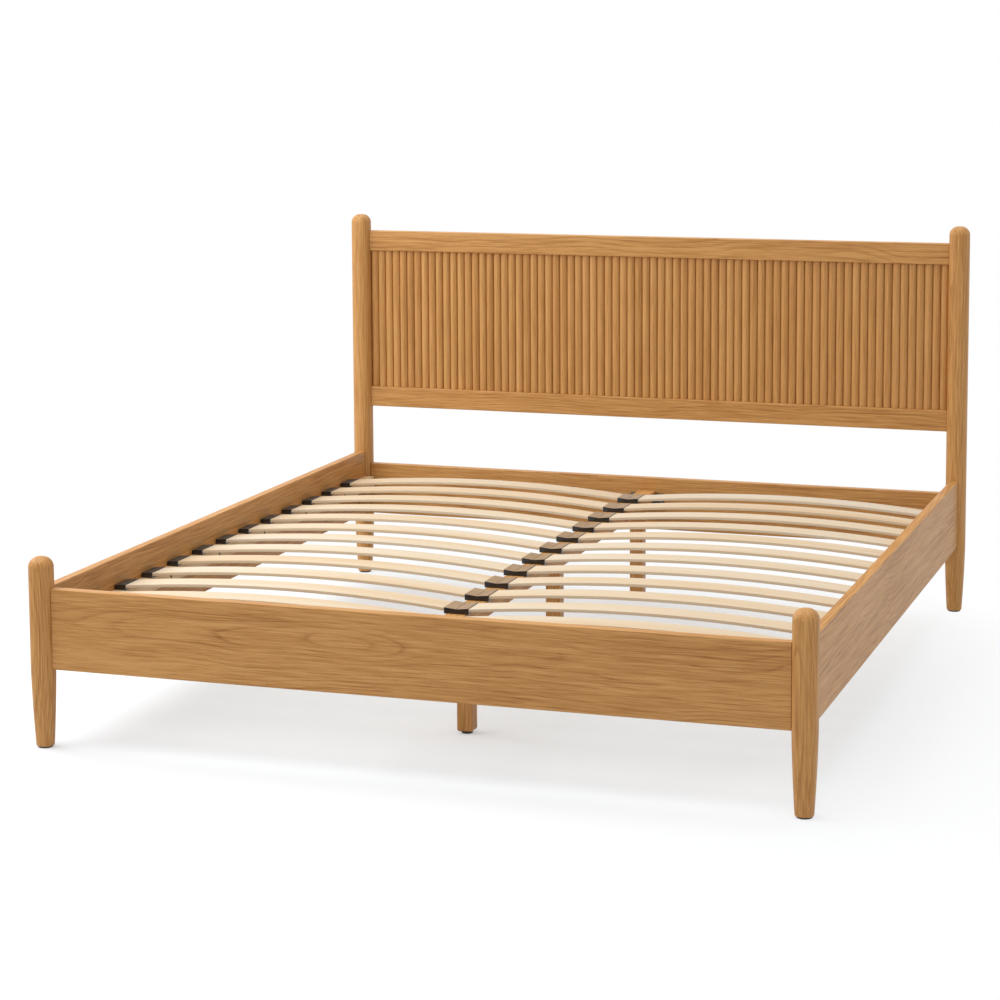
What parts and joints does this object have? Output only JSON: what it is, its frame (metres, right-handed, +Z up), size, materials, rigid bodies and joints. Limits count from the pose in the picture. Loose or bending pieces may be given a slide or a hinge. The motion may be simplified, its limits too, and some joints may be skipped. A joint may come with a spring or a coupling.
{
  "type": "bed frame",
  "caption": "Free-standing wooden bed frame: rounded posts on tapered feet, a reeded headboard, deep rails, and bowed slats in holders over a centre beam on legs.",
  "frame": {"origin": "on the floor, under the middle of the frame's plan", "axes": "+X to the right seen from the foot end, +Y from the foot to the head, +Z up"},
  "size_m": [1.896, 2.126, 1.12],
  "materials": {
    "oak": "satin lacquered honey oak",
    "slat_wood": "pale bare birch plywood",
    "batten_wood": "planed softwood",
    "dowel_wood": "plain beech dowel",
    "black_plastic": "moulded black plastic",
    "steel": "black-oxide steel"
  },
  "bodies": {
    "frame": {"beam_brackets": "steel", "bracket_screws": "steel", "centre_beam": "oak", "centre_leg_front": "oak", "centre_leg_middle": "oak", "centre_leg_rear": "oak", "centre_slat_holders": "black_plastic", "corner_glides": "black_plastic", "foot_post_left": "oak", "foot_post_right": "oak", "foot_rail": "oak", "frame_dowels": "dowel_wood", "head_post_left": "oak", "head_post_right": "oak", "head_rail": "oak", "headboard_back_panel": "oak", "headboard_bottom_rail": "oak", "headboard_reeds": "oak", "headboard_top_rail": "oak", "ledger_screws": "steel", "leg_bolts": "steel", "leg_inserts": "steel", "post_inserts": "steel", "rail_bolts": "steel", "rail_washers": "steel", "side_rail_left": "oak", "side_rail_right": "oak", "side_slat_holders_left": "black_plastic", "side_slat_holders_right": "black_plastic", "slat_ledger_left": "batten_wood", "slat_ledger_right": "batten_wood", "slat_left_01": "slat_wood", "slat_left_02": "slat_wood", "slat_left_03": "slat_wood", "slat_left_04": "slat_wood", "slat_left_05": "slat_wood", "slat_left_06": "slat_wood", "slat_left_07": "slat_wood", "slat_left_08": "slat_wood", "slat_left_09": "slat_wood", "slat_left_10": "slat_wood", "slat_left_11": "slat_wood", "slat_left_12": "slat_wood", "slat_right_01": "slat_wood", "slat_right_02": "slat_wood", "slat_right_03": "slat_wood", "slat_right_04": "slat_wood", "slat_right_05": "slat_wood", "slat_right_06": "slat_wood", "slat_right_07": "slat_wood", "slat_right_08": "slat_wood", "slat_right_09": "slat_wood", "slat_right_10": "slat_wood", "slat_right_11": "slat_wood", "slat_right_12": "slat_wood"},
    "foot_front": {"levelling_foot_front": "black_plastic"},
    "foot_middle": {"levelling_foot_middle": "black_plastic"},
    "foot_rear": {"levelling_foot_rear": "black_plastic"}
  },
  "joints": [
    {"name": "level_front", "type": "slide", "parent": "frame", "child": "foot_front", "axis": [0, 0, -1], "range_m": [0, 0.012]},
    {"name": "level_middle", "type": "slide", "parent": "frame", "child": "foot_middle", "axis": [0, 0, -1], "range_m": [0, 0.012]},
    {"name": "level_rear", "type": "slide", "parent": "frame", "child": "foot_rear", "axis": [0, 0, -1], "range_m": [0, 0.012]}
  ]
}
